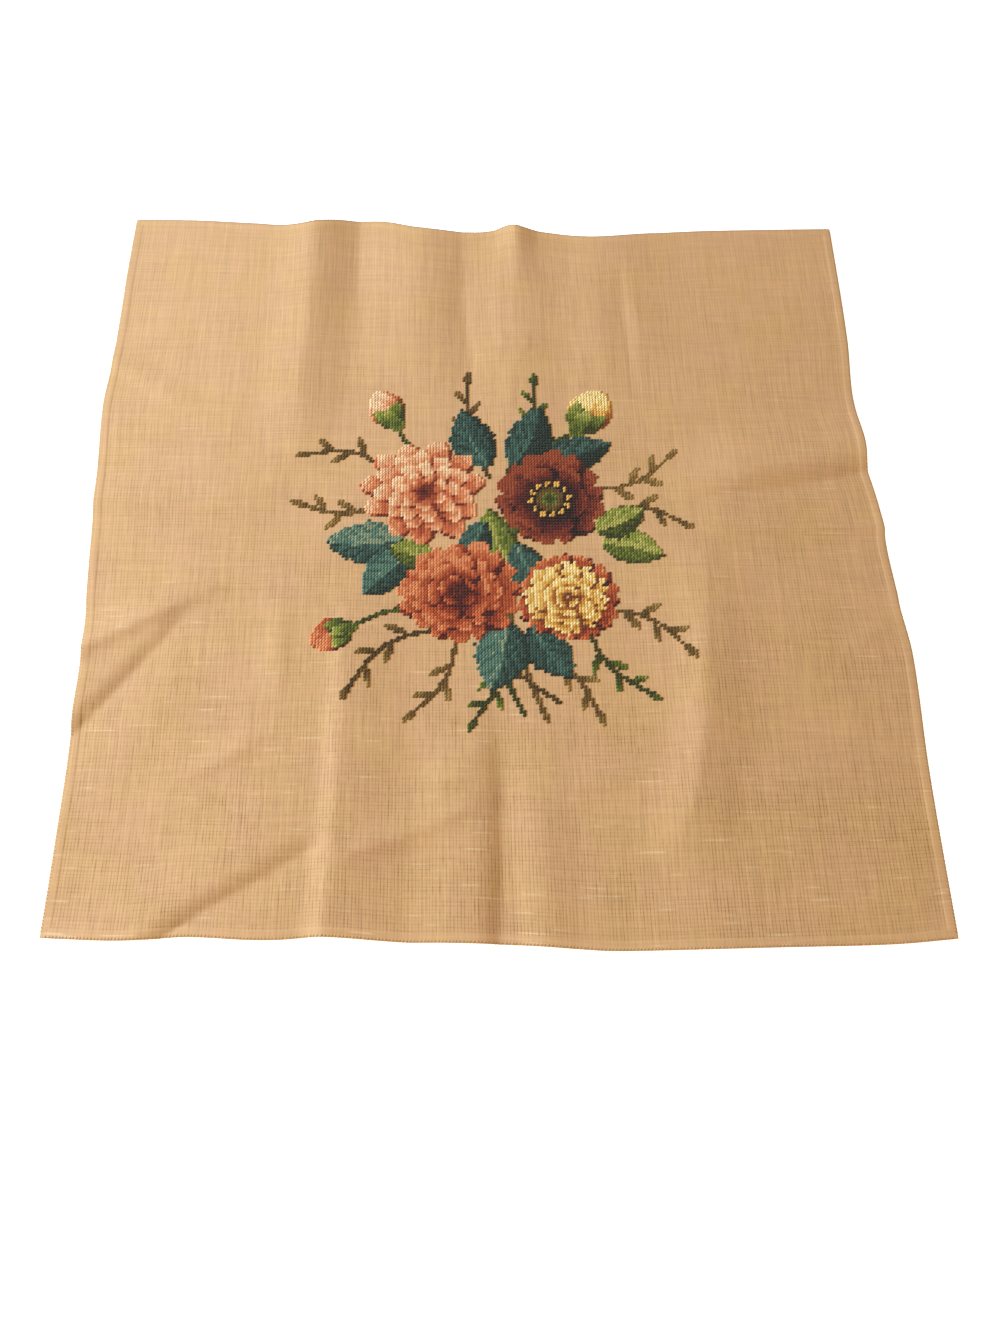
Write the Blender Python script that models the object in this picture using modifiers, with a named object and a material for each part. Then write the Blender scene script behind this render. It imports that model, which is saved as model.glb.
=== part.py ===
# A needlepoint canvas panel: a square of stiff double-thread canvas with a narrow turned hem and
# a worked centre, laid out flat after years folded in three, so that its storage folds still stand.
from collections import namedtuple
from math import cos, hypot, pi, radians, sin

import bpy

MM = 0.001

# The cloth as it was cut and hemmed, and how far it is pulled out of square
WIDTH = 583.0 * MM
LENGTH = 583.0 * MM
SKEW = 7.4 * MM  # the far edge lies this far to the left, the near edge as far to the right

# Thicknesses, each measured up from the underside
CANVAS_THICKNESS = 1.0 * MM
HEM_THICKNESS = 1.3 * MM  # a second layer of canvas, pressed flat
WOOL_THICKNESS = 2.1 * MM  # canvas with the stitches on it
HEM_WIDTH = 6.0 * MM
HEM_STEP = 1.5 * MM  # the hem drops to the single canvas over this width
WOOL_SHOULDER = 8.0 * MM  # the worked centre thins out over this width

# The grid of the solid
CELLS = 52  # each way, an even number that counts the two hem cells at each edge
CROWDING = 0.4  # how much closer the grid lines lie beside a long fold

CANVAS_COLOUR = (0.694, 0.456, 0.227, 1.0)
CANVAS_ROUGHNESS = 0.9

# A fold is a ridge, or a trough where its rise is negative, along a path of (u, v, rise) in mm,
# where u runs to the right from the middle of the cloth and v away from the viewer. Left and
# right are its flanks' widths in mm, seen along the path, and crease says how sharp its line is,
# from 0 to 1.
LIFT = 1.2 * MM  # how high the folds hold the stiff cloth off the table
FLAT_RADIUS = 50.0 * MM  # the worked middle lies flat on the table
LIFT_REACH = 70.0 * MM  # and the cloth rises to its lift over this distance
Fold = namedtuple("Fold", "name path left right crease")
FOLDS = (
    Fold("left upper", ((-139, 310, 3.6), (-141, 200, 3.4), (-146, 120, 2.4), (-148, 50, 0.0)),
         40, 38, 0.5),
    Fold("left upper slope", ((-138, 320, 1.2), (-142, 150, 1.2), (-146, 10, 0.0)), 40, 150, 0.0),
    Fold("left upper trough", ((-102, 320, -1.6), (-102, 240, -1.4), (-100, 150, 0.0)), 22, 32, 0.8),
    Fold("rim swell", ((-50, 310, 3.0), (-52, 200, 2.4), (-58, 110, 0.0)), 50, 46, 0.2),
    Fold("centre upper trough", ((-16, 310, -0.8), (-16, 200, -1.6), (-9, 110, 0.0)), 14, 26, 0.8),
    Fold("centre upper", ((29, 310, 2.6), (28, 200, 2.6), (20, 120, 1.8), (12, 50, 0.0)), 50, 36, 0.3),
    Fold("centre rim", ((30, 310, 5.0), (28, 262, 1.4), (27, 225, 0.0)), 20, 20, 0.4),
    Fold("right upper swell", ((100, 310, 1.4), (100, 180, 1.4), (105, 80, 0.0)), 60, 50, 0.0),
    Fold("right upper", ((112, 262, 0.0), (113, 200, -1.3), (118, 100, 0.0)), 9, 22, 0.7),
    Fold("left middle", ((-148, -40, 0.0), (-150, -90, 1.1), (-147, -145, 0.0)), 12, 18, 0.3),
    Fold("left lower", ((-104, -20, 0.0), (-104, -130, 2.4), (-106, -200, 2.8), (-113, -310, 3.4)),
         55, 17, 0.5),
    Fold("left lower slope", ((-104, -20, 0.0), (-104, -150, 1.0), (-110, -320, 1.0)), 60, 150, 0.0),
    Fold("centre lower", ((2, -125, 0.0), (4, -190, -1.6), (3, -250, -1.8), (-1, -310, -1.8)),
         24, 14, 0.8),
    Fold("centre lower swell", ((-14, -120, 0.0), (-15, -200, 1.6), (-16, -310, 1.8)), 26, 44, 0.1),
    Fold("centre lower twin", ((30, -150, 0.0), (30, -220, 1.2), (32, -310, 1.6)), 25, 20, 0.2),
    Fold("right lower", ((160, 20, 0.0), (156, -50, 1.8), (148, -110, 2.8), (144, -150, 3.0),
                         (132, -200, 2.6), (106, -245, 0.0)), 40, 26, 0.5),
    Fold("right lower slope", ((150, 110, 0.0), (155, -100, 2.2), (140, -320, 2.0)), 150, 60, 0.0),
    Fold("right cross swell", ((135, 27, 0.0), (190, 42, 3.6), (310, 66, 4.6)), 60, 50, 0.0),
    Fold("right cross", ((135, 25, 0.0), (190, 34, -3.8), (240, 42, -5.0), (310, 56, -5.6)),
         19, 46, 0.8),
    Fold("right cross twin", ((150, 2, 0.0), (200, 2, 1.4), (310, 3, 2.0)), 18, 8, 0.8),
    Fold("right cross end", ((163, -12, 0.0), (225, -31, 0.8), (288, -51, 0.4)), 9, 9, 0.3),
    Fold("left cross", ((-310, 26, 2.2), (-180, 25, 1.8), (-130, 25, 0.0)), 30, 18, 0.4),
    Fold("left slant swell", ((-306, -140, 1.8), (-240, -84, 1.6), (-190, -40, 0.0)), 60, 70, 0.0),
    Fold("left slant", ((-300, -97, 2.6), (-240, -66, 2.2), (-185, -38, 0.0)), 26, 12, 0.8),
    Fold("left slant twin", ((-306, -176, -2.4), (-256, -112, -2.4), (-230, -80, -1.8),
                             (-205, -46, 0.0)), 12, 44, 0.8),
    Fold("corner swell", ((-250, -316, 2.6), (-175, -266, 2.4), (-100, -222, 0.0)), 60, 50, 0.0),
    Fold("corner slant", ((-250, -316, -3.4), (-215, -292, -3.4), (-175, -266, -3.2),
                          (-125, -235, -2.0), (-108, -226, 0.0)), 13, 50, 0.9),
    Fold("front slant", ((-112, -243, 0.0), (-85, -233, 1.8), (-60, -224, 2.2), (-32, -213, 1.6),
                         (-8, -200, 0.0)), 26, 13, 0.8),
    Fold("front slant rim", ((-70, -215, 0.0), (-30, -185, 1.0), (0, -160, 0.0)), 24, 14, 0.3),
    Fold("front slant twin", ((-225, -195, 0.0), (-178, -169, 1.2), (-132, -143, 0.0)), 16, 10, 0.4),
    Fold("back slant", ((-292, 155, 1.0), (-240, 119, 1.0), (-190, 86, 0.0)), 18, 12, 0.4),
    Fold("front right slant", ((30, -199, 0.0), (70, -189, 0.8), (106, -181, 0.0)), 14, 14, 0.4),
)
# The folds that the grid's columns run along, from left to right, and its middle row
COLUMN_GUIDES = (
    ("left lower", "left upper"),
    ("centre lower", "centre upper"),
    ("right lower", "right upper"),
)
ROW_GUIDE = ("left cross", "right cross")

# How far each edge bows out of its straight line, as (place along the edge, distance out) in mm
EDGE_WAVES = {
    "left": ((-292, 0.0), (-240, -1.5), (-176, -2.8), (-140, -2.4), (-112, -3.2), (-75, -2.8),
             (-45, -0.4), (59, 3.8), (112, 6.0), (150, 3.2), (200, 1.4), (240, 0.6), (292, -1.5)),
    "right": ((-292, 0.0), (-180, 0.8), (-97, 4.0), (-60, 1.2), (-45, 0.8), (-15, -0.6), (16, -0.2),
              (56, -4.2), (80, -3.8), (105, -5.6), (127, -5.4), (175, -1.8), (292, 0.0)),
    "near": ((-292, -2.0), (-240, -0.2), (-200, -2.6), (-160, -0.8), (-140, -0.8), (-113, -2.4),
             (-60, 0.8), (-34, 1.0), (13, 2.4), (50, 4.8), (76, 6.0), (180, 3.8), (250, 1.9),
             (292, -1.6)),
    "far": ((-292, 5.0), (-240, 4.0), (-190, 0.2), (-156, -2.6), (-114, 3.4), (-84, 2.4),
            (-51, -6.0), (-9, -8.6), (8, -8.2), (22, -5.2), (36, -7.4), (53, -9.6), (94, -14.0),
            (140, -10.0), (190, -7.0), (292, -5.0)),
}
WAVE_REACH = 120.0 * MM  # the waves die out over this distance from the edge

# The worked motifs that stand proud of the canvas, as ellipses in mm and degrees
Motif = namedtuple("Motif", "name u v half_long half_wide turn")
MOTIFS = (
    Motif("left flower", -47, 38, 43, 42, 0),
    Motif("right flower", 50, 27, 41, 40, 0),
    Motif("front flower", -22, -43, 43, 42, 0),
    Motif("front right flower", 61, -50, 37, 36, 0),
    Motif("back leaves", 20, 86, 48, 24, 10),
    Motif("left leaves", -86, -18, 30, 16, 70),
    Motif("front leaves", 25, -95, 30, 16, 60),
)


def ease(share):
    share = min(max(share, 0.0), 1.0)
    return share * share * (3.0 - 2.0 * share)


def value_at(points, place):
    """Reads a table of (place, value), in rising order of place, along a smooth curve."""
    place = min(max(place, points[0][0]), points[-1][0])
    index = 0
    while place > points[index + 1][0]:
        index += 1
    before, start = points[max(index - 1, 0)], points[index]
    end, after = points[index + 1], points[min(index + 2, len(points) - 1)]
    run = end[0] - start[0]
    share = (place - start[0]) / run
    slope_in = run * (end[1] - before[1]) / (end[0] - before[0])
    slope_out = run * (after[1] - start[1]) / (after[0] - start[0])
    rise = end[1] - start[1]
    return (start[1] + share * slope_in + share ** 2 * (3.0 * rise - 2.0 * slope_in - slope_out)
            + share ** 3 * (slope_in + slope_out - 2.0 * rise))


def nearest_on_path(path, u, v):
    """Distance from a fold's path, positive on its left, and the rise at the nearest point."""
    best = None
    for (u0, v0, rise0), (u1, v1, rise1) in zip(path, path[1:]):
        run_u, run_v = u1 - u0, v1 - v0
        share = ((u - u0) * run_u + (v - v0) * run_v) / (run_u ** 2 + run_v ** 2)
        share = min(max(share, 0.0), 1.0)
        off_u, off_v = u - u0 - share * run_u, v - v0 - share * run_v
        distance = hypot(off_u, off_v)
        if best is None or distance < abs(best[0]):
            side = 1.0 if run_u * off_v - run_v * off_u >= 0.0 else -1.0
            best = (side * distance, rise0 + (rise1 - rise0) * share)
    return best


def fold_height(u, v):
    """Height of the underside above the table, which the middle and the troughs reach."""
    height = LIFT * ease((hypot(u, v) - FLAT_RADIUS) / LIFT_REACH)
    for fold in FOLDS:
        distance, rise = nearest_on_path(fold.path, u / MM, v / MM)
        share = abs(distance) / (fold.left if distance > 0.0 else fold.right)
        if share < 1.0:
            rounded = (1.0 - share ** 2) ** 2
            pointed = (1.0 - share) ** 2
            height += rise * MM * (rounded + (pointed - rounded) * fold.crease)
    return max(height, 0.0)


def plan_place(u, v):
    """Where a point of the flat cloth lies on the table, after the skew and the edges' waves."""
    x, y = u - SKEW * v / (LENGTH / 2), v
    for edge, along, inset, out_x, out_y in (
        ("left", v, WIDTH / 2 + u, -1.0, 0.0),
        ("right", v, WIDTH / 2 - u, 1.0, 0.0),
        ("near", u, LENGTH / 2 + v, 0.0, -1.0),
        ("far", u, LENGTH / 2 - v, 0.0, 1.0),
    ):
        push = value_at(EDGE_WAVES[edge], along / MM) * MM * (1.0 - ease(inset / WAVE_REACH))
        x += out_x * push
        y += out_y * push
    return x, y


def wool_share(u, v):
    """1 where the canvas is worked with wool, 0 where it is bare."""
    share = 0.0
    for motif in MOTIFS:
        off_u, off_v = u - motif.u * MM, v - motif.v * MM
        turn = radians(motif.turn)
        across = (off_u * cos(turn) + off_v * sin(turn)) / (motif.half_long * MM)
        along = (off_v * cos(turn) - off_u * sin(turn)) / (motif.half_wide * MM)
        depth_inside = (1.0 - hypot(across, along)) * motif.half_wide * MM
        share = max(share, ease(0.5 + depth_inside / WOOL_SHOULDER))
    return share


def thickness(u, v):
    inset = min(WIDTH / 2 - abs(u), LENGTH / 2 - abs(v))
    hem = (HEM_THICKNESS - CANVAS_THICKNESS) * (1.0 - ease((inset - HEM_WIDTH) / HEM_STEP))
    wool = (WOOL_THICKNESS - CANVAS_THICKNESS) * wool_share(u, v)
    return CANVAS_THICKNESS + hem + wool


def grid_lines(half_size, guides):
    """Places of all grid lines across the cloth: the hem's two at each edge, and between them
    lines that crowd beside the guides."""
    hem = [-half_size, -half_size + HEM_WIDTH]
    stops = [-half_size + HEM_WIDTH + HEM_STEP, *guides, half_size - HEM_WIDTH - HEM_STEP]
    steps = (CELLS - 4) // (len(stops) - 1)
    lines = []
    for start, end in zip(stops, stops[1:]):
        for step in range(steps):
            share = step / steps
            share -= CROWDING * sin(2.0 * pi * share) / (2.0 * pi)
            lines.append(start + (end - start) * share)
    return hem + lines + [stops[-1]] + [-place for place in reversed(hem)]


def guide_tables():
    """The long folds' crests as tables of (v, u), and the cross folds' as one of (u, v)."""
    by_name = {fold.name: fold.path for fold in FOLDS}
    columns = []
    for names in COLUMN_GUIDES:
        points = [point for name in names for point in by_name[name]]
        columns.append(sorted((v * MM, u * MM) for u, v, _ in points))
    points = [point for name in ROW_GUIDE for point in by_name[name]]
    return columns, sorted((u * MM, v * MM) for u, v, _ in points)


def build_canvas(collection):
    """The one sheet: its underside is shaped on a grid and Solidify lays the thickness on it."""
    bpy.ops.mesh.primitive_grid_add(x_subdivisions=CELLS, y_subdivisions=CELLS, size=2.0)
    sheet = bpy.context.object
    sheet.name = "canvas_panel"
    sheet.data.name = "canvas_panel"
    for owner in list(sheet.users_collection):
        owner.objects.unlink(sheet)
    collection.objects.link(sheet)

    columns, row = guide_tables()
    layers = sheet.vertex_groups.new(name="thickness")
    for vertex in sheet.data.vertices:
        column = round((vertex.co.x + 1.0) * CELLS / 2)
        line = round((vertex.co.y + 1.0) * CELLS / 2)
        rough_u = vertex.co.x * WIDTH / 2
        v = grid_lines(LENGTH / 2, [value_at(row, rough_u)])[line]
        u = grid_lines(WIDTH / 2, [value_at(guide, v) for guide in columns])[column]
        x, y = plan_place(u, v)
        vertex.co = (x, y, fold_height(u, v))
        layers.add([vertex.index], thickness(u, v) / WOOL_THICKNESS, "REPLACE")

    # The origin is the middle of the panel's footprint
    middle = [(min(side) + max(side)) / 2 for side in
              ([vertex.co[axis] for vertex in sheet.data.vertices] for axis in (0, 1))]
    for vertex in sheet.data.vertices:
        vertex.co.x -= middle[0]
        vertex.co.y -= middle[1]

    solid = sheet.modifiers.new("thickness", "SOLIDIFY")
    solid.thickness = WOOL_THICKNESS
    solid.offset = 1.0
    solid.vertex_group = layers.name
    solid.use_rim = True
    sheet.data.shade_smooth()
    return sheet


def canvas_material():
    material = bpy.data.materials.new("unbleached canvas")
    material.use_nodes = True
    shader = material.node_tree.nodes["Principled BSDF"]
    shader.inputs["Base Color"].default_value = CANVAS_COLOUR
    shader.inputs["Roughness"].default_value = CANVAS_ROUGHNESS
    shader.inputs["Metallic"].default_value = 0.0
    return material


def main():
    for old in list(bpy.data.objects):
        bpy.data.objects.remove(old)
    collection = bpy.data.collections.new("needlepoint canvas panel")
    bpy.context.scene.collection.children.link(collection)
    sheet = build_canvas(collection)
    sheet.data.materials.append(canvas_material())


main()
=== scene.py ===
import math

import bpy
import numpy as np
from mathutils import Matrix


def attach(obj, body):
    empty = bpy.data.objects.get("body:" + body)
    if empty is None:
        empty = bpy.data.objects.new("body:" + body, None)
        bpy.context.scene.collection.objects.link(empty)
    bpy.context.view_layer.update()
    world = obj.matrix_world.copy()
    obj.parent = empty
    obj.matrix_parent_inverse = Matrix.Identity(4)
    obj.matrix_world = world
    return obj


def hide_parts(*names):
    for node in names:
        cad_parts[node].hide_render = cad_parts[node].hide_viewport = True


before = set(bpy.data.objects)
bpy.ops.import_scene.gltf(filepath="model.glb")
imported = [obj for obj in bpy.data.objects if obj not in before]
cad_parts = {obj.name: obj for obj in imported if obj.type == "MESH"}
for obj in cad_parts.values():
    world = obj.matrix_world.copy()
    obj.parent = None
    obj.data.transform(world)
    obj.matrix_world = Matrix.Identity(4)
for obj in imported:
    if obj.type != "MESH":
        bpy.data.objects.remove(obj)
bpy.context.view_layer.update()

mm = 0.001


# Small helpers
def linearColour(hexCode):  # sRGB hex to linear RGBA
    channels = [int(hexCode[i:i + 2], 16) / 255 for i in (1, 3, 5)]
    return [c / 12.92 if c <= 0.04045 else ((c + 0.055) / 1.055) ** 2.4 for c in channels] + [1.0]


def ease(share):  # 0 to 1 with a soft start and end
    share = np.clip(share, 0.0, 1.0)
    return share * share * (3.0 - 2.0 * share)


def deselectAll():
    if bpy.context.object and bpy.context.object.mode != "OBJECT":
        bpy.ops.object.mode_set(mode="OBJECT")
    bpy.ops.object.select_all(action="DESELECT")


def addNode(tree, kind, inputs=None, output=0, **settings):  # values are set, other nodes' outputs are linked
    node = tree.nodes.new("ShaderNode" + kind)
    for name, value in settings.items():
        setattr(node, name, value)
    for name, value in (inputs or {}).items():
        if isinstance(value, bpy.types.NodeSocket):
            tree.links.new(value, node.inputs[name])
        else:
            node.inputs[name].default_value = value
    return node.outputs[output]


# The camera: a 27 mm lens held above the near edge, as in the photograph
camera = {"lens": 27.0, "sensor": 36.0, "place": (0.0088, -0.352, 0.6565), "tilt": 20.7}


def addCamera():
    deselectAll()
    bpy.ops.object.camera_add(location=camera["place"], rotation=(math.radians(camera["tilt"]), 0, 0))
    view = bpy.context.object
    view.data.lens = camera["lens"]
    view.data.sensor_width = camera["sensor"]
    view.data.clip_start = 0.01
    bpy.context.scene.camera = view


addCamera()
print("camera placed")

# The cloth's shape. A fold is a ridge, or a trough where its rise is negative, along a path of
# (u, v, rise), u to the right and v away from the viewer. Its flanks' widths are seen along the path.
cloth = {
    "width": 583.0, "length": 583.0, "skew": 7.4,
    "canvasThick": 1.0, "hemWidth": 6.0,
    "meshesAcross": 259, "meshesUp": 254,  # thread pairs
    "waveReach": 120.0,  # how far in from an edge its bows are felt
    "edgeSamples": 600,
    # its folds hold it off the table, but for its middle
    "lift": 1.2, "flatRadius": 50.0, "liftReach": 70.0,
    "folds": [  # path, left flank, right flank, crease
        # the long folds of the storage, and the broad slopes beside them
        ([(-139, 310, 3.6), (-141, 200, 3.4), (-146, 120, 2.4), (-148, 50, 0.0)], 40, 38, 0.5),
        ([(-138, 320, 1.2), (-142, 150, 1.2), (-146, 10, 0.0)], 40, 150, 0.0),
        ([(-102, 320, -1.6), (-102, 240, -1.4), (-100, 150, 0.0)], 22, 32, 0.8),
        ([(-50, 310, 3.0), (-52, 200, 2.4), (-58, 110, 0.0)], 50, 46, 0.2),
        ([(-16, 310, -0.8), (-16, 200, -1.6), (-9, 110, 0.0)], 14, 26, 0.8),
        ([(29, 310, 2.6), (28, 200, 2.6), (20, 120, 1.8), (12, 50, 0.0)], 50, 36, 0.3),
        ([(30, 310, 5.0), (28, 262, 1.4), (27, 225, 0.0)], 20, 20, 0.4),
        ([(100, 310, 1.4), (100, 180, 1.4), (105, 80, 0.0)], 60, 50, 0.0),
        ([(112, 262, 0.0), (113, 200, -1.3), (118, 100, 0.0)], 9, 22, 0.7),
        ([(-148, -40, 0.0), (-150, -90, 1.1), (-147, -145, 0.0)], 12, 18, 0.3),
        ([(-104, -20, 0.0), (-104, -130, 2.4), (-106, -200, 2.8), (-113, -310, 3.4)], 55, 17, 0.5),
        ([(-104, -20, 0.0), (-104, -150, 1.0), (-110, -320, 1.0)], 60, 150, 0.0),
        ([(2, -125, 0.0), (4, -190, -1.6), (3, -250, -1.8), (-1, -310, -1.8)], 24, 14, 0.8),
        ([(-14, -120, 0.0), (-15, -200, 1.6), (-16, -310, 1.8)], 26, 44, 0.1),
        ([(30, -150, 0.0), (30, -220, 1.2), (32, -310, 1.6)], 25, 20, 0.2),
        ([(160, 20, 0.0), (156, -50, 1.8), (148, -110, 2.8), (144, -150, 3.0), (132, -200, 2.6),
          (106, -245, 0.0)], 40, 26, 0.5),
        ([(150, 110, 0.0), (155, -100, 2.2), (140, -320, 2.0)], 150, 60, 0.0),
        # the cross folds at the sides
        ([(135, 27, 0.0), (190, 42, 3.6), (310, 66, 4.6)], 60, 50, 0.0),
        ([(135, 25, 0.0), (190, 34, -3.8), (240, 42, -5.0), (310, 56, -5.6)], 19, 46, 0.8),
        ([(150, 2, 0.0), (200, 2, 1.4), (310, 3, 2.0)], 18, 8, 0.8),
        ([(163, -12, 0.0), (225, -31, 0.8), (288, -51, 0.4)], 9, 9, 0.3),
        ([(-310, 26, 2.2), (-180, 25, 1.8), (-130, 25, 0.0)], 30, 18, 0.4),
        # the slanting creases
        ([(-306, -140, 1.8), (-240, -84, 1.6), (-190, -40, 0.0)], 60, 70, 0.0),
        ([(-300, -97, 2.6), (-240, -66, 2.2), (-185, -38, 0.0)], 26, 12, 0.8),
        ([(-306, -176, -2.4), (-256, -112, -2.4), (-230, -80, -1.8), (-205, -46, 0.0)], 12, 44, 0.8),
        ([(-250, -316, 2.6), (-175, -266, 2.4), (-100, -222, 0.0)], 60, 50, 0.0),
        ([(-250, -316, -3.4), (-215, -292, -3.4), (-175, -266, -3.2), (-125, -235, -2.0), (-108, -226, 0.0)],
         13, 50, 0.9),
        ([(-112, -243, 0.0), (-85, -233, 1.8), (-60, -224, 2.2), (-32, -213, 1.6), (-8, -200, 0.0)],
         26, 13, 0.8),
        ([(-70, -215, 0.0), (-30, -185, 1.0), (0, -160, 0.0)], 24, 14, 0.3),
        ([(-225, -195, 0.0), (-178, -169, 1.2), (-132, -143, 0.0)], 16, 10, 0.4),
        ([(-292, 155, 1.0), (-240, 119, 1.0), (-190, 86, 0.0)], 18, 12, 0.4),
        ([(30, -199, 0.0), (70, -189, 0.8), (106, -181, 0.0)], 14, 14, 0.4),
        # small wrinkles, too fine for the solid
        ([(8, 189, 0.0), (15, 174, 0.5), (10, 150, 0.0)], 5, 5, 0.4),
        ([(29, 185, 0.0), (34, 168, 0.5), (26, 152, 0.0)], 5, 6, 0.4),
        ([(200, -186, 0.0), (240, -180, 0.5), (280, -176, 0.0)], 7, 6, 0.3),
        ([(240, -98, 0.0), (262, -84, 0.5), (285, -72, 0.0)], 9, 8, 0.3),
    ],
    # how far each edge bows out of its straight line, as (place along the edge, distance out)
    "edges": {
        "left": [(-292, 0.0), (-240, -1.5), (-176, -2.8), (-140, -2.4), (-112, -3.2), (-75, -2.8),
                 (-45, -0.4), (59, 3.8), (112, 6.0), (150, 3.2), (200, 1.4), (240, 0.6), (292, -1.5)],
        "right": [(-292, 0.0), (-180, 0.8), (-97, 4.0), (-60, 1.2), (-45, 0.8), (-15, -0.6), (16, -0.2),
                  (56, -4.2), (80, -3.8), (105, -5.6), (127, -5.4), (175, -1.8), (292, 0.0)],
        "near": [(-292, -2.0), (-240, -0.2), (-200, -2.6), (-160, -0.8), (-140, -0.8), (-113, -2.4),
                 (-60, 0.8), (-34, 1.0), (13, 2.4), (50, 4.8), (76, 6.0), (180, 3.8), (250, 1.9),
                 (292, -1.6)],
        "far": [(-292, 5.0), (-240, 4.0), (-190, 0.2), (-156, -2.6), (-114, 3.4), (-84, 2.4), (-51, -6.0),
                (-9, -8.6), (8, -8.2), (22, -5.2), (36, -7.4), (53, -9.6), (94, -14.0), (140, -10.0),
                (190, -7.0), (292, -5.0)],
    },
    # low waves all over: how far they run for each radian in u and in v, and their rise
    "swells": [(48.5, 30.5, 0.25), (-41.5, 60.0, 0.2), (22.0, -66.5, 0.2), (105.0, 87.5, 0.25)],
}
cloth["pitchAcross"] = cloth["width"] / cloth["meshesAcross"]
cloth["pitchUp"] = cloth["length"] / cloth["meshesUp"]


def valueAt(points, place):  # reads a table of (place, value) along a smooth curve
    places = np.array([point[0] for point in points], float)
    values = np.array([point[1] for point in points], float)
    slopes = np.gradient(values, places)
    slopes[1:-1] = (values[2:] - values[:-2]) / (places[2:] - places[:-2])
    place = np.clip(place, places[0], places[-1])
    index = np.clip(np.searchsorted(places, place) - 1, 0, len(places) - 2)
    run = places[index + 1] - places[index]
    share = (place - places[index]) / run
    rise = values[index + 1] - values[index]
    slopeIn, slopeOut = run * slopes[index], run * slopes[index + 1]
    return (values[index] + share * slopeIn + share ** 2 * (3 * rise - 2 * slopeIn - slopeOut)
            + share ** 3 * (slopeIn + slopeOut - 2 * rise))


def foldRise(path, left, right, crease, u, v):  # flanks go from rounded to pointed as crease goes to 1
    distance = np.full(u.shape, 1e6)  # at first farther off than any path
    rise = np.zeros(u.shape)
    for (u0, v0, rise0), (u1, v1, rise1) in zip(path, path[1:]):
        runU, runV = u1 - u0, v1 - v0
        share = np.clip(((u - u0) * runU + (v - v0) * runV) / (runU ** 2 + runV ** 2), 0.0, 1.0)
        offU, offV = u - u0 - share * runU, v - v0 - share * runV
        here = np.hypot(offU, offV)
        closer = here < np.abs(distance)
        side = np.where(runU * offV - runV * offU >= 0.0, 1.0, -1.0)
        distance = np.where(closer, side * here, distance)
        rise = np.where(closer, rise0 + (rise1 - rise0) * share, rise)
    share = np.clip(np.abs(distance) / np.where(distance > 0.0, left, right), 0.0, 1.0)
    rounded, pointed = (1.0 - share ** 2) ** 2, (1.0 - share) ** 2
    return rise * (rounded + (pointed - rounded) * crease)


def clothHeight(u, v):  # of the underside, above the table
    height = cloth["lift"] * ease((np.hypot(u, v) - cloth["flatRadius"]) / cloth["liftReach"])
    height = height + sum(foldRise(*fold, u, v) for fold in cloth["folds"])
    for waveU, waveV, rise in cloth["swells"]:
        height = height + 0.5 * rise * (1.0 + np.sin(u / waveU + v / waveV))
    return np.maximum(height, 0.0)


def clothPlan(u, v):  # where a point of the flat cloth lies, seen from above
    halfWidth, halfLength = cloth["width"] / 2, cloth["length"] / 2
    x, y = u - cloth["skew"] * v / halfLength, v
    for edge, along, inset, outX, outY in (
        ("left", v, halfWidth + u, -1.0, 0.0), ("right", v, halfWidth - u, 1.0, 0.0),
        ("near", u, halfLength + v, 0.0, -1.0), ("far", u, halfLength - v, 0.0, 1.0),
    ):
        push = valueAt(cloth["edges"][edge], along) * (1.0 - ease(inset / cloth["waveReach"]))
        x, y = x + outX * push, y + outY * push
    return x - cloth["middle"][0], y - cloth["middle"][1]


def clothPoint(u, v, lift):  # in metres, the given height above the underside
    step = 0.5  # over which the slope is taken
    x, y = clothPlan(u, v)
    slopeU = (clothHeight(u + step, v) - clothHeight(u - step, v)) / (2 * step)
    slopeV = (clothHeight(u, v + step) - clothHeight(u, v - step)) / (2 * step)
    size = np.sqrt(1.0 + slopeU ** 2 + slopeV ** 2)
    z = clothHeight(u, v) + lift / size
    return np.stack([x - lift * slopeU / size, y - lift * slopeV / size, z], -1) * mm


def findMiddle():  # the origin is the middle of the panel's footprint
    cloth["middle"] = (0.0, 0.0)
    half = cloth["width"] / 2
    side = np.linspace(-half, half, cloth["edgeSamples"])
    edge = np.full(side.shape, half)
    x, y = clothPlan(np.concatenate([side, side, -edge, edge]), np.concatenate([-edge, edge, side, side]))
    cloth["middle"] = ((x.min() + x.max()) / 2, (y.min() + y.max()) / 2)


findMiddle()

# The canvas sheet
canvas = {
    "cells": 218,  # each way
    "hemLines": [0.0, 0.35, 0.9, 1.8, 3.4, 5.0, 5.7, 6.3, 7.2, 8.6],  # insets of the grid lines at each edge
    "hemProfile": [(0.0, 0.9), (0.35, 1.14), (0.9, 1.24), (1.8, 1.28), (3.4, 1.3), (5.0, 1.26), (5.7, 1.2),
                   (6.3, 1.08), (7.2, 1.0), (300.0, 1.0)],  # inset, thickness
    "smoothAngle": 60,
}


def gridLines(size):
    edge = [inset - size / 2 for inset in canvas["hemLines"]]
    middle = np.linspace(edge[-1], -edge[-1], canvas["cells"] + 3 - 2 * len(edge))
    return np.concatenate([edge[:-1], middle, [-place for place in reversed(edge[:-1])]])


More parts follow.
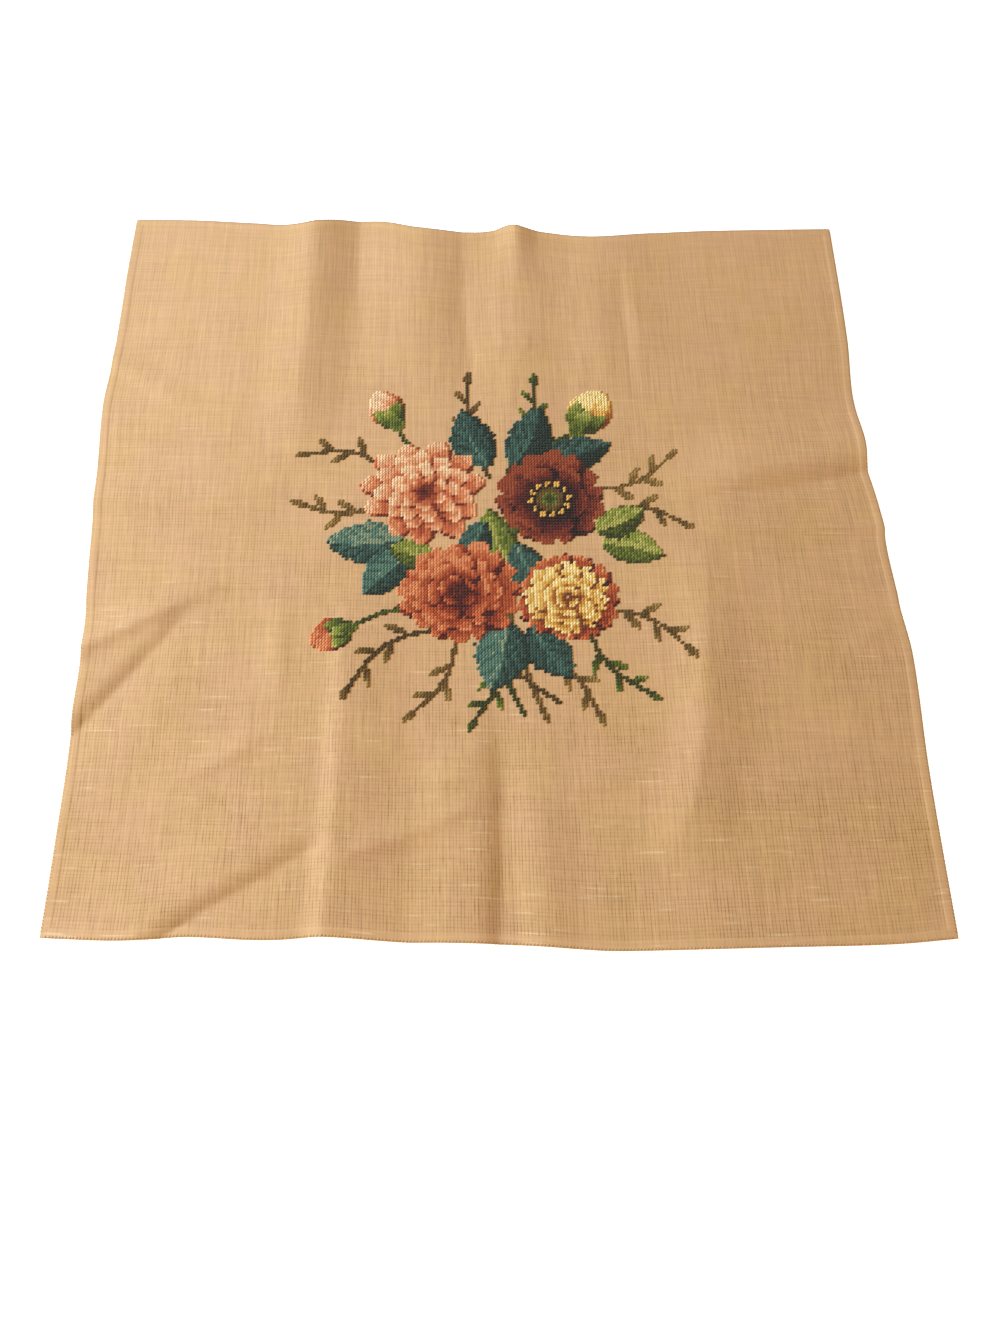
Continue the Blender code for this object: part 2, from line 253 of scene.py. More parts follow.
def buildCanvas():
    cells = canvas["cells"]
    deselectAll()
    bpy.ops.mesh.primitive_grid_add(x_subdivisions=cells, y_subdivisions=cells, size=2.0)
    sheet = bpy.context.object
    sheet.name = "canvas_cloth"
    mesh = sheet.data
    place = np.empty(len(mesh.vertices) * 3)
    mesh.vertices.foreach_get("co", place)
    place = place.reshape(-1, 3)
    index = np.rint((place[:, :2] + 1.0) * cells / 2).astype(int)
    u = gridLines(cloth["width"])[index[:, 0]]
    v = gridLines(cloth["length"])[index[:, 1]]
    mesh.vertices.foreach_set("co", clothPoint(u, v, 0.0).ravel())

    # the UV map counts meshes of the canvas, so that the weave follows the cloth
    corner = np.empty(len(mesh.loops), int)
    mesh.loops.foreach_get("vertex_index", corner)
    uv = np.stack([(u + cloth["width"] / 2) / cloth["pitchAcross"],
                   (v + cloth["length"] / 2) / cloth["pitchUp"]], -1)
    mesh.uv_layers[0].name = "meshes"
    mesh.uv_layers[0].uv.foreach_set("vector", uv[corner].ravel())

    # one layer of canvas, two in the hem
    inset = np.minimum(cloth["width"] / 2 - np.abs(u), cloth["length"] / 2 - np.abs(v))
    insets, depths = zip(*canvas["hemProfile"])
    layers = sheet.vertex_groups.new(name="layers")
    for vertex, depth in enumerate(np.interp(inset, insets, depths) / max(depths)):
        layers.add([vertex], depth, "REPLACE")
    solid = sheet.modifiers.new("layers", "SOLIDIFY")
    solid.thickness = max(depths) * mm
    solid.offset = 1.0
    solid.vertex_group = layers.name
    bpy.ops.object.modifier_apply(modifier=solid.name)
    bpy.ops.object.shade_smooth_by_angle(angle=math.radians(canvas["smoothAngle"]))
    sheet.vertex_groups.clear()
    return sheet


canvasCloth = buildCanvas()
print("canvas laid out:", len(canvasCloth.data.polygons), "faces")

# Unbleached cotton canvas, plain woven with its threads in pairs and sized stiff. It is matt, and its
# gaps are painted shade, fine dark lines that come and go, the upright ones stronger than the level ones.
# Lengths here are in meshes of 2.25 mm, and the gaps are drawn wider than the real 0.4 mm, to show.
weave = {
    # the gap colour is painted shade, the shaded depth between the threads
    "pink": "#d9af82", "yellow": "#d8b07c", "gapShade": "#8c6636", "slub": "#f4dcae",
    "bump": 0.35, "bumpDepth": 0.3, "gapDepth": 1.2, "slubHeight": 0.6, "hairHeight": 0.3,
    "roughness": 0.9, "specular": 0.2, "sheen": 0.06,
    "gapPatch": 24.0, "patchLeast": 0.5,  # the patches where the gaps are open or half closed
    "farFade": 0.4,  # the strength of the gaps' painted shade at the far edge, where the threads lie closer
    "hemGaps": 0.3, "hemBlend": 0.3,  # the strength of the gaps' painted shade in the hem, and how softly that begins
    "holeShade": 0.25,  # how much darker the painted shade is where two gaps cross
    "huePatch": 20.0, "hairs": 0.25, "grain": 0.1,
    "slubsNear": 0.5, "slubsFar": 0.05, "slubAlong": 0.06, "slubAcross": 7.46, "slubSeed": 11.0,
    # how fast a noise changes across the threads and along them: neighbours are unlike where it is fast
    "wanderRate": (0.8, 0.04), "dashRate": 7.31, "toneRate": (6.37, 0.04), "toneSeed": 5.0,
    "threads": [  # seed, painted shade of a gap and of the line between a pair, wander, length of a dash, tone
        {"seed": 3.0, "gapShade": 0.62, "splitShade": 0.14, "wander": 0.22, "dash": 6.0, "tone": 0.11},  # upright
        {"seed": 47.0, "gapShade": 0.28, "splitShade": 0.10, "wander": 0.22, "dash": 10.0, "tone": 0.07},  # level
    ],
}


def canvasMaterial():
    material = bpy.data.materials.new("double-thread cotton canvas")
    material.use_nodes = True
    tree = material.node_tree
    shader = tree.nodes["Principled BSDF"]
    meshes = addNode(tree, "UVMap", uv_map="meshes")
    across = addNode(tree, "SeparateXYZ", {"Vector": meshes}, output=0)
    up = addNode(tree, "SeparateXYZ", {"Vector": meshes}, output=1)

    dark, tone, gaps = 0.0, 1.0, []
    for thread, cross, along in zip(weave["threads"], (across, up), (up, across)):
        # the lines lie at whole numbers, give or take the threads' wander
        place = addNode(tree, "CombineXYZ", {"X": cross, "Y": along, "Z": thread["seed"]})
        place = addNode(tree, "VectorMath", {0: place, 1: (*weave["wanderRate"], 1.0)}, operation="MULTIPLY")
        drift = addNode(tree, "TexNoise", {"Vector": place, "Scale": 1.0, "Detail": 2.0})
        drift = addNode(tree, "MapRange", {"Value": drift, "To Min": -thread["wander"],
                                           "To Max": thread["wander"]})
        line = addNode(tree, "Math", {0: cross, 1: drift}, operation="ADD")
        wave = addNode(tree, "Math", {0: line, 1: 2.0 * math.pi}, operation="MULTIPLY")
        wave = addNode(tree, "Math", {0: wave}, operation="COSINE")
        gapShade = addNode(tree, "MapRange", {"Value": wave, "From Min": -0.2, "From Max": 1.0},
                      interpolation_type="SMOOTHSTEP")
        splitShade = addNode(tree, "MapRange", {"Value": wave, "From Min": -0.6, "From Max": -1.0})

        # each gap is open in some places and nearly closed in others
        number = addNode(tree, "Math", {0: line}, operation="ROUND")
        place = addNode(tree, "CombineXYZ", {"X": number, "Y": along, "Z": thread["seed"]})
        place = addNode(tree, "VectorMath", {0: place, 1: (weave["dashRate"], 1.0 / thread["dash"], 1.0)},
                        operation="MULTIPLY")
        dash = addNode(tree, "TexNoise", {"Vector": place, "Scale": 1.0, "Detail": 3.0, "Roughness": 0.6})
        dash = addNode(tree, "MapRange", {"Value": dash, "From Min": 0.34, "From Max": 0.66, "To Min": 0.25})
        gapShade = addNode(tree, "Math", {0: gapShade, 1: dash}, operation="MULTIPLY")
        gaps.append(gapShade)
        dark = addNode(tree, "Math", {0: gapShade, 1: thread["gapShade"], 2: dark}, operation="MULTIPLY_ADD")
        dark = addNode(tree, "Math", {0: splitShade, 1: thread["splitShade"], 2: dark}, operation="MULTIPLY_ADD")

        # each thread of a pair has its own tone
        number = addNode(tree, "Math", {0: line, 1: 0.5}, operation="SNAP")
        place = addNode(tree, "CombineXYZ", {"X": number, "Y": along,
                                             "Z": thread["seed"] + weave["toneSeed"]})
        place = addNode(tree, "VectorMath", {0: place, 1: (*weave["toneRate"], 1.0)}, operation="MULTIPLY")
        fibre = addNode(tree, "TexNoise", {"Vector": place, "Scale": 1.0, "Detail": 2.0})
        fibre = addNode(tree, "MapRange", {"Value": fibre, "From Min": 0.25, "From Max": 0.75,
                                           "To Min": -thread["tone"], "To Max": thread["tone"]})
        tone = addNode(tree, "Math", {0: tone, 1: fibre}, operation="ADD")

    # the painted shade of the gaps is darkest where two gaps cross, stronger in patches, and faint in the
    # hem, which has two layers
    holeShade = addNode(tree, "Math", {0: gaps[0], 1: gaps[1]}, operation="MULTIPLY")
    dark = addNode(tree, "Math", {0: holeShade, 1: weave["holeShade"], 2: dark}, operation="MULTIPLY_ADD")
    patches = addNode(tree, "TexNoise", {"Vector": meshes, "Scale": 1.0 / weave["gapPatch"], "Detail": 3.0})
    patches = addNode(tree, "MapRange", {"Value": patches, "From Min": 0.3, "From Max": 0.7,
                                         "To Min": weave["patchLeast"]})
    fromSides = addNode(tree, "Math", {0: across, 1: cloth["meshesAcross"]}, operation="PINGPONG")
    fromSides = addNode(tree, "Math", {0: fromSides, 1: cloth["meshesAcross"] / 2}, operation="PINGPONG")
    fromEnds = addNode(tree, "Math", {0: up, 1: cloth["meshesUp"] / 2}, operation="PINGPONG")
    inset = addNode(tree, "Math", {0: fromSides, 1: fromEnds}, operation="MINIMUM")
    hem = cloth["hemWidth"] / cloth["pitchAcross"]
    single = addNode(tree, "MapRange", {"Value": inset, "From Min": hem - weave["hemBlend"],
                                        "From Max": hem + weave["hemBlend"], "To Min": weave["hemGaps"]})
    strength = addNode(tree, "Math", {0: patches, 1: single}, operation="MULTIPLY")
    fade = addNode(tree, "MapRange", {"Value": up, "From Max": cloth["meshesUp"], "To Min": 1.0,
                                      "To Max": weave["farFade"]})
    strength = addNode(tree, "Math", {0: strength, 1: fade}, operation="MULTIPLY")
    dark = addNode(tree, "Math", {0: dark, 1: strength}, operation="MULTIPLY", use_clamp=True)

    # slubs, the thick pale places of some level threads, lie mostly in the near half
    number = addNode(tree, "Math", {0: up, 1: 0.5}, operation="SNAP")
    place = addNode(tree, "CombineXYZ", {"X": across, "Y": number, "Z": weave["slubSeed"]})
    place = addNode(tree, "VectorMath", {0: place, 1: (weave["slubAlong"], weave["slubAcross"], 1.0)},
                    operation="MULTIPLY")
    slub = addNode(tree, "TexNoise", {"Vector": place, "Scale": 1.0, "Detail": 1.0})
    near = addNode(tree, "MapRange", {"Value": up, "From Max": cloth["meshesUp"],
                                      "To Min": weave["slubsNear"], "To Max": weave["slubsFar"]})
    slub = addNode(tree, "MapRange", {"Value": slub, "From Min": 0.66, "From Max": 0.76, "To Max": near})

    # the cotton's hue changes a little from place to place, and its hairs make it grainy
    hue = addNode(tree, "TexNoise", {"Vector": meshes, "Scale": 1.0 / weave["huePatch"], "Detail": 3.0})
    hue = addNode(tree, "MapRange", {"Value": hue, "From Min": 0.35, "From Max": 0.65})
    hairs = addNode(tree, "TexNoise", {"Vector": meshes, "Scale": 1.0 / weave["hairs"], "Detail": 2.0})
    grain = addNode(tree, "MapRange", {"Value": hairs, "To Min": -weave["grain"], "To Max": weave["grain"]})
    tone = addNode(tree, "Math", {0: tone, 1: grain}, operation="ADD")
    pink, yellow = linearColour(weave["pink"]), linearColour(weave["yellow"])
    colour = addNode(tree, "Mix", {0: hue, 6: pink, 7: yellow}, 2, data_type="RGBA")
    colour = addNode(tree, "Mix", {0: slub, 6: colour, 7: linearColour(weave["slub"])}, 2, data_type="RGBA")
    colour = addNode(tree, "VectorMath", {0: colour, "Scale": tone}, operation="SCALE")
    # the gaps' painted shade goes over the cotton's colour
    colour = addNode(tree, "Mix", {0: dark, 6: colour, 7: linearColour(weave["gapShade"])}, 2, data_type="RGBA")
    tree.links.new(colour, shader.inputs["Base Color"])

    height = addNode(tree, "Math", {0: dark, 1: -weave["gapDepth"], 2: 1.0}, operation="MULTIPLY_ADD")
    height = addNode(tree, "Math", {0: slub, 1: weave["slubHeight"], 2: height}, operation="MULTIPLY_ADD")
    height = addNode(tree, "Math", {0: hairs, 1: weave["hairHeight"], 2: height}, operation="MULTIPLY_ADD")
    bump = addNode(tree, "Bump", {"Height": height, "Strength": weave["bump"],
                                  "Distance": weave["bumpDepth"] * mm})
    tree.links.new(bump, shader.inputs["Normal"])
    shader.inputs["Roughness"].default_value = weave["roughness"]
    shader.inputs["Specular IOR Level"].default_value = weave["specular"]
    shader.inputs["Sheen Weight"].default_value = weave["sheen"]
    return material


canvasCloth.data.materials.append(canvasMaterial())

# The stitch chart. Each motif is drawn by a formula on a grid of stitches, counted from the middle
# of the spray, and a stitch takes the shade that is nearest to the tone there.
shades = {
    "maroon": ["#24100c", "#3c1610", "#5a1f14", "#7a2f1a", "#984624"],
    "rust": ["#4a160e", "#6e2412", "#92381a", "#b05026", "#ca6a3a", "#dd8c58"],
    "salmon": ["#7c2e18", "#a84c28", "#c96a3e", "#dc8a58", "#e8a878", "#f0c294", "#f2d4a8"],
    "yellow": ["#7c4018", "#a96424", "#cd9038", "#e4b454", "#efcd78", "#f5e09a"],
    "teal": ["#1a2a22", "#24392f", "#315046", "#42675a", "#587e6c", "#86997a"],
    "green": ["#394012", "#505c1a", "#6c7824", "#8c9638", "#b0ae58"],
    "olive": ["#4e3c14", "#6a5020", "#86682e", "#a08246"],
}
firstShade, yarns = {}, []
for family, codes in shades.items():
    firstShade[family] = len(yarns)
    yarns += [linearColour(code) for code in codes]

chart = {
    "reachX": 70, "reachY": 68,  # stitches from the spray's middle to the chart's edges
    "shift": (1, -2),  # from the cloth's middle to the spray's, in stitches
    "light": (-0.55, 0.83),  # where the drawn light comes from
    "grain": 0.16, "stretchSpread": 0.18, "toneSpread": 0.14,  # how unlike stitches and petals are
    "lowShare": 0.6,  # how far a petal's foot follows the roundness of its flower
    "bowParts": 10,  # the straight parts of a bowed stem
    "stemHalf": 0.62,  # a little over a half, so that a slanting stem has no breaks
    "seed": 7,
}
chartX, chartY = np.meshgrid(np.arange(-chart["reachX"], chart["reachX"] + 1.0),
                             np.arange(-chart["reachY"], chart["reachY"] + 1.0))
chartRandom = np.random.default_rng(chart["seed"])
chartGrain = (chartRandom.random(chartX.shape) - 0.5) * chart["grain"]
chartShade = np.full(chartX.shape, -1)
chartPiece = np.full(chartX.shape, -1)
pieceNames = []


def startPiece(name):  # all that is laid from here on belongs to this piece
    pieceNames.append(name)
    print("charting", name)


def lay(mask, family, tone):  # tone 0 is a family's darkest shade and 1 its palest
    steps = len(shades[family])
    level = np.clip(((tone + chartGrain) * steps).astype(int), 0, steps - 1)
    chartShade[mask] = (firstShade[family] + level)[mask]
    chartPiece[mask] = len(pieceNames) - 1


def turned(x, y, angle):  # the chart seen from (x, y) along the angle: how far ahead, how far left
    c, s = math.cos(math.radians(angle)), math.sin(math.radians(angle))
    return (chartX - x) * c + (chartY - y) * s, (chartY - y) * c - (chartX - x) * s


def litSide(angle):  # how much the left side of what points along the angle faces the light
    lightX, lightY = chart["light"]
    return math.cos(math.radians(angle)) * lightY - math.sin(math.radians(angle)) * lightX


# How much each feature of a petal or a leaf changes its tone, and where the feature lies, both in
# shares of the whole. The half width of a leaf's rib is in stitches.
petalShade = {"side": 0.16, "tip": 0.10, "tipStart": 0.82, "rimStart": 0.74, "notchStart": 0.8,
              "notchDepth": 0.2}
leafShade = {"side": 0.40, "middle": 0.14, "vein": 0.16, "veins": 5.0, "veinSlant": 0.42, "veinWidth": 0.26,
             "rib": 0.18, "ribFade": 0.3, "ribHalf": 0.5, "ribEnd": 0.86, "edge": 0.16}


# A petal goes from tone low at its foot to high at its tip. It is widest nearer its tip as tip grows,
# rounder as blunt shrinks, and has a notch of a share of its width, and a rim darker on its shaded side.
def petal(x, y, angle, length, width, family, low, high, tip=1.25, blunt=0.55, notch=0.0, rim=0.3):
    ahead, off = turned(x, y, angle)
    p, q = ahead / length, off / width
    half = np.sin(np.pi * np.clip(p, 0.001, 0.999) ** tip) ** blunt
    if notch:
        into = (p - petalShade["notchStart"]) / petalShade["notchDepth"]
        half = np.where((into > 0.0) & (np.abs(q) < notch * into), 0.0, half)
    side = q * litSide(angle)
    tone = low + (high - low) * ease(p * 1.15 - 0.1) + petalShade["side"] * side
    tone = tone + petalShade["tip"] * (p > petalShade["tipStart"])
    tone = tone - rim * ((np.abs(q) > petalShade["rimStart"] * np.maximum(half, 0.05)) & (side < 0.0))
    lay((p > 0.0) & (p < 1.0) & (np.abs(q) < half), family, tone)


def flower(bloom):  # rings of petals, the outermost first, each petal a little unlike the next
    for ring in bloom["rings"]:
        shape = {key: ring[key] for key in ("tip", "blunt", "notch", "rim") if key in ring}
        for k in range(ring["count"]):
            angle = ring.get("turn", 0.0) + 360.0 * k / ring["count"]
            angle = angle + (chartRandom.random() - 0.5) * bloom["wander"]
            stretch = 1.0 + (chartRandom.random() - 0.5) * chart["stretchSpread"]
            c, s = math.cos(math.radians(angle)), math.sin(math.radians(angle)) * bloom["squash"]
            facing = c * chart["light"][0] + s * chart["light"][1]
            low = ring["low"] + bloom["round"] * facing * chart["lowShare"]
            high = ring["high"] + (chartRandom.random() - 0.5) * chart["toneSpread"] + bloom["round"] * facing
            petal(bloom["x"] + ring["inner"] * c, bloom["y"] + ring["inner"] * s,
                  math.degrees(math.atan2(s, c)), ring["length"] * math.hypot(c, s) * stretch, ring["width"],
                  ring.get("family", bloom["family"]), low, high, **shape)


def disc(x, y, radius, family, low, high):
    distance = np.hypot(chartX - x, chartY - y) / radius
    lay(distance < 1.0, family, low + (high - low) * distance)


def leaf(x, y, angle, length, width, family, low, high, bow=0.0, teeth=0.16, count=7):  # count of teeth
    ahead, off = turned(x, y, angle)
    p = ahead / length
    off = off - bow * np.sin(np.pi * np.clip(p, 0.0, 1.0))
    q = off / width
    half = np.sin(np.pi * np.clip(p, 0.001, 0.999) ** 0.85) ** 0.8 * (1.0 - teeth * ((p * count) % 1.0))
    tone = 0.5 * (low + high) + leafShade["side"] * (high - low) * np.sign(q) * litSide(angle)
    tone = tone + leafShade["middle"] * (1.0 - np.abs(q))
    fromVein = ((p - leafShade["veinSlant"] * np.abs(q)) * leafShade["veins"]) % 1.0
    tone = tone - leafShade["vein"] * (fromVein < leafShade["veinWidth"])
    tone = np.where((np.abs(off) < leafShade["ribHalf"]) & (p < leafShade["ribEnd"]),
                    high + leafShade["rib"] - leafShade["ribFade"] * p, tone)
    tone = np.where((np.abs(q) > half - leafShade["edge"]) & (q * litSide(angle) < 0.0), low, tone)
    lay((p > 0.0) & (p < 1.0) & (np.abs(q) < half), family, tone)


def bowed(x0, y0, x1, y1, bow):  # the points of a line whose middle stands out by the bow
    length = math.hypot(x1 - x0, y1 - y0)
    points = []
    for share in np.linspace(0.0, 1.0, chart["bowParts"] + 1):
        out = bow * math.sin(math.pi * share) / length
        points.append((x0 + (x1 - x0) * share - (y1 - y0) * out, y0 + (y1 - y0) * share + (x1 - x0) * out))
    return points


def stem(points, family, tone, thick=1.1):
    for (x0, y0), (x1, y1) in zip(points, points[1:]):
        for share in np.linspace(0.0, 1.0, int(max(abs(x1 - x0), abs(y1 - y0)) * 2) + 2):
            off = np.hypot(chartX - x0 - (x1 - x0) * share, chartY - y0 - (y1 - y0) * share)
            lay(off < thick * chart["stemHalf"], family, np.full(chartX.shape, tone))


# The leaves of a sprig: where they end along the twig, their turn off it, their spacing, length and
# width in shares of the sprig's size, and how much paler than the twig their tips are
twig = {"end": 0.97, "spacing": 0.62, "turn": 44, "length": 1.25, "taper": 0.35, "width": 0.16,
        "tipLength": 0.9, "tipWidth": 0.17, "paler": 0.35, "upperPaler": 0.2, "tipPaler": 0.3}


def sprig(x0, y0, x1, y1, bow, start, size, family, tone):  # a twig with small leaves on both sides
    points = bowed(x0, y0, x1, y1, bow)
    stem(points, family, tone)
    length = math.hypot(x1 - x0, y1 - y0)
    leaves = int(length * (twig["end"] - start) / (size * twig["spacing"]))
    for k in range(leaves):
        share = start + (twig["end"] - start) * k / leaves
        i = int(share * chart["bowParts"])
        part = share * chart["bowParts"] - i
        (ax, ay), (bx, by) = points[i], points[i + 1]
        x, y = ax + (bx - ax) * part, ay + (by - ay) * part
        turn = twig["turn"] if k % 2 else -twig["turn"]
        petal(x, y, math.degrees(math.atan2(by - ay, bx - ax)) + turn,
              size * (twig["length"] - twig["taper"] * share), size * twig["width"], family, tone,
              tone + twig["paler"] + twig["upperPaler"] * (k % 2), tip=1.1, blunt=0.7, rim=0.0)
    (ax, ay), (bx, by) = points[-2:]
    petal(bx, by, math.degrees(math.atan2(by - ay, bx - ax)), size * twig["tipLength"],
          size * twig["tipWidth"], family, tone, tone + twig["tipPaler"], rim=0.0)


def bud(x, y, angle, size, family, low, high):  # two petals in a green cup of three sepals
    petal(x, y, angle, size * 1.5, size * 0.62, family, low, high, tip=0.9, blunt=0.6, rim=0.35)
    petal(x, y, angle + 16, size * 1.35, size * 0.34, family, low + 0.25, high + 0.1, tip=1.1, blunt=0.7)
    for turn, length, width, dark, pale in (
        (30, 0.95, 0.30, 0.2, 0.8), (-30, 0.95, 0.30, 0.0, 0.6), (0, 0.75, 0.26, 0.3, 0.9),
    ):
        petal(x, y, angle + turn, size * length, size * width, "green", dark, pale, tip=0.8, blunt=0.8)
    disc(x, y, size * 0.24, "green", 0.2, 0.5)


startPiece("stitches_stems")
stem(bowed(4, -8, 16, -62, -3), "olive", 0.45, 1.3)
stem(bowed(0, -8, 9, -60, -5), "green", 0.1, 1.3)
stem(bowed(-4, -20, 20, -56, -6), "olive", 0.2, 1.2)
for x0, y0, x1, y1, bow, start, size, family, tone in (
    (0, 22, -7, 57, 3, 0.4, 7.4, "olive", 0.2), (6, 24, 16, 56, -3, 0.45, 7.0, "green", 0.0),
    (-34, 24, -59, 31, -4, 0.35, 7.0, "olive", 0.3), (-34, 14, -60, 11, 4, 0.4, 7.4, "olive", 0.5),
    (32, 18, 59, 28, -4, 0.3, 7.4, "olive", 0.5), (36, 8, 61, 6, 4, 0.3, 7.0, "olive", 0.3),
    (34, -26, 59, -37, 4, 0.25, 7.4, "olive", 0.3), (30, -32, 46, -52, -3, 0.3, 6.8, "green", 0.05),
    (-16, -32, -44, -50, -5, 0.3, 7.4, "olive", 0.2), (-12, -36, -24, -58, 3, 0.3, 6.8, "olive", 0.4),
    (2, -40, -5, -60, 2, 0.35, 7.0, "green", 0.05), (14, -40, 31, -58, 3, 0.35, 7.0, "olive", 0.4),
):
    sprig(x0, y0, x1, y1, bow, start, size, family, tone)
stem(bowed(-18, 30, -31, 42, 3), "green", 0.2, 1.2)
bud(-31, 42, 120, 10, "salmon", 0.1, 0.9)
stem(bowed(14, 26, 30, 39, 2), "green", 0.15, 1.3)
bud(30, 40, 55, 12, "yellow", 0.3, 0.95)
stem(bowed(-20, -26, -45, -32, -3), "green", 0.2, 1.2)
bud(-45, -32, 200, 9, "rust", 0.2, 0.9)

startPiece("stitches_leaves")
for x, y, angle, length, width, family, low, high, bow in (
    (0, 26, 112, 24, 8.0, "teal", 0.12, 0.60, 1.5), (8, 26, 66, 25, 8.5, "teal", 0.05, 0.50, -1.5),
    (18, 24, 24, 26, 7.5, "teal", 0.0, 0.45, 1.5), (-28, 0, 184, 26, 8.5, "teal", 0.30, 0.85, 1.5),
    (-26, -6, 224, 21, 7.5, "teal", 0.20, 0.70, -1.0), (4, -28, 258, 25, 9.5, "teal", 0.25, 0.80, 1.5),
    (12, -30, 304, 22, 7.5, "teal", 0.15, 0.60, -1.0), (36, -2, 346, 21, 6.5, "green", 0.20, 0.90, 1.0),
    (34, 2, 26, 19, 6.0, "green", 0.10, 0.80, -1.0), (-6, -2, 24, 18, 6.5, "green", 0.15, 0.85, 0.0),
    (6, -10, 108, 22, 6.5, "green", 0.20, 0.90, 1.0), (-2, 6, 250, 20, 6.0, "teal", 0.10, 0.60, 0.0),
    (8, -2, 292, 20, 6.5, "teal", 0.15, 0.70, 0.0), (-18, -8, 164, 16, 5.5, "green", 0.15, 0.85, 0.0),
):
    leaf(x, y, angle, length, width, family, low, high, bow)

startPiece("stitches_peony")
flower({"x": -11, "y": -19, "family": "rust", "squash": 0.93, "wander": 7.0, "round": 0.12, "rings": [
    {"count": 8, "inner": 4.0, "length": 15.5, "width": 7.2, "low": 0.05, "high": 0.80,
     "tip": 1.6, "blunt": 0.45, "notch": 0.3, "turn": 12, "rim": 0.45},
    {"count": 7, "inner": 3.0, "length": 12.0, "width": 6.2, "low": 0.0, "high": 0.92,
     "tip": 1.5, "blunt": 0.45, "notch": 0.3, "turn": 38, "rim": 0.5},
    {"count": 6, "inner": 1.5, "length": 9.0, "width": 4.8, "low": -0.05, "high": 0.75,
     "tip": 1.5, "blunt": 0.5, "turn": 10, "rim": 0.5},
    {"count": 5, "inner": 0.5, "length": 5.5, "width": 3.2, "low": -0.1, "high": 0.6,
     "tip": 1.4, "blunt": 0.5, "turn": 30, "rim": 0.5},
]})
disc(-11, -19, 1.6, "maroon", 0.2, 0.6)

startPiece("stitches_marigold")
flower({"x": 24, "y": -21, "family": "yellow", "squash": 0.95, "wander": 9.0, "round": 0.10, "rings": [
    {"count": 11, "inner": 6.0, "length": 10.5, "width": 4.6, "low": 0.2, "high": 0.65,
     "tip": 1.6, "blunt": 0.5, "notch": 0.3, "rim": 0.5, "family": "rust"},
    {"count": 11, "inner": 4.5, "length": 9.2, "width": 3.8, "low": -0.1, "high": 0.78,
     "tip": 1.6, "blunt": 0.5, "notch": 0.3, "turn": 16, "rim": 0.6},
    {"count": 9, "inner": 3.0, "length": 7.8, "width": 3.4, "low": -0.1, "high": 0.85,
     "tip": 1.5, "blunt": 0.5, "rim": 0.6},
    {"count": 7, "inner": 1.5, "length": 6.2, "width": 3.0, "low": -0.1, "high": 0.95,
     "tip": 1.5, "blunt": 0.5, "turn": 20, "rim": 0.6},
    {"count": 4, "inner": 0.0, "length": 4.0, "width": 2.4, "low": 0.0, "high": 0.8,
     "tip": 1.4, "blunt": 0.5, "turn": 40, "rim": 0.6},
]})

startPiece("stitches_anemone")
flower({"x": 20, "y": 14, "family": "maroon", "squash": 0.95, "wander": 6.0, "round": 0.16, "rings": [
    {"count": 7, "inner": 3.0, "length": 16.0, "width": 8.0, "low": 0.0, "high": 0.92,
     "tip": 1.5, "blunt": 0.5, "notch": 0.25, "turn": 20, "rim": 0.45},
    {"count": 6, "inner": 2.0, "length": 11.5, "width": 6.4, "low": -0.05, "high": 0.75,
     "tip": 1.4, "blunt": 0.5, "turn": 50, "rim": 0.5},
]})
disc(20, 14, 4.6, "olive", 0.9, 0.2)
stamens = {"count": 12, "turn": 7, "reachX": 6.2, "reachY": 5.9}
for stamen in range(stamens["count"]):
    swing = math.radians(360 / stamens["count"] * stamen + stamens["turn"])
    disc(20 + stamens["reachX"] * math.cos(swing), 14 + stamens["reachY"] * math.sin(swing), 0.9, "yellow",
         0.45, 0.6)
disc(20, 14, 2.4, "green", 0.0, 0.5)

startPiece("stitches_dahlia")
flower({"x": -22, "y": 17, "family": "salmon", "squash": 0.95, "wander": 5.0, "round": 0.12, "rings": [
    {"count": 11, "inner": 5.0, "length": 15.5, "width": 4.6, "low": 0.0, "high": 0.58,
     "blunt": 0.6, "turn": 8, "rim": 0.4},
    {"count": 11, "inner": 3.5, "length": 12.5, "width": 4.0, "low": 0.02, "high": 0.72,
     "blunt": 0.6, "turn": 24, "rim": 0.4},
    {"count": 9, "inner": 2.5, "length": 9.5, "width": 3.4, "low": 0.05, "high": 0.85,
     "blunt": 0.6, "turn": 4, "rim": 0.45},
    {"count": 7, "inner": 1.5, "length": 6.8, "width": 2.8, "low": 0.0, "high": 0.8,
     "blunt": 0.6, "turn": 20, "rim": 0.45},
    {"count": 5, "inner": 0.5, "length": 4.2, "width": 1.9, "low": -0.1, "high": 0.4, "blunt": 0.6},
]})
disc(-22, 17, 1.5, "maroon", 0.3, 0.6)
print("chart drawn:", int((chartShade >= 0).sum()), "stitches")

# One tent stitch, from hole to hole over a crossing of the canvas. The spreads say how unlike the
# stitches are, the turns in degrees.
stitch = {
    "halfLength": 1.70, "halfWidth": 1.17, "halfHeight": 0.676, "sink": 0.18,
    "lift": 0.36, "turnSpread": 3.0, "sizeSpread": 0.12, "toneSpread": 0.11, "seed": 21,
}


def buildStitch():  # a plump length of wool, which lies with its underside in the canvas
    deselectAll()
    bpy.ops.mesh.primitive_uv_sphere_add(segments=6, ring_count=4, radius=1.0,
                                         rotation=(0, math.radians(90), 0))
    length = bpy.context.object
    bpy.ops.object.transform_apply(rotation=True)
    bpy.ops.object.mode_set(mode="EDIT")
    bpy.ops.mesh.select_mode(type="VERT")
    bpy.ops.mesh.select_all(action="SELECT")
    bpy.ops.transform.resize(value=(stitch["halfLength"], stitch["halfWidth"], stitch["halfHeight"]))
    bpy.ops.transform.translate(value=(0, 0, -stitch["sink"]))
    bpy.ops.object.mode_set(mode="OBJECT")
    return length


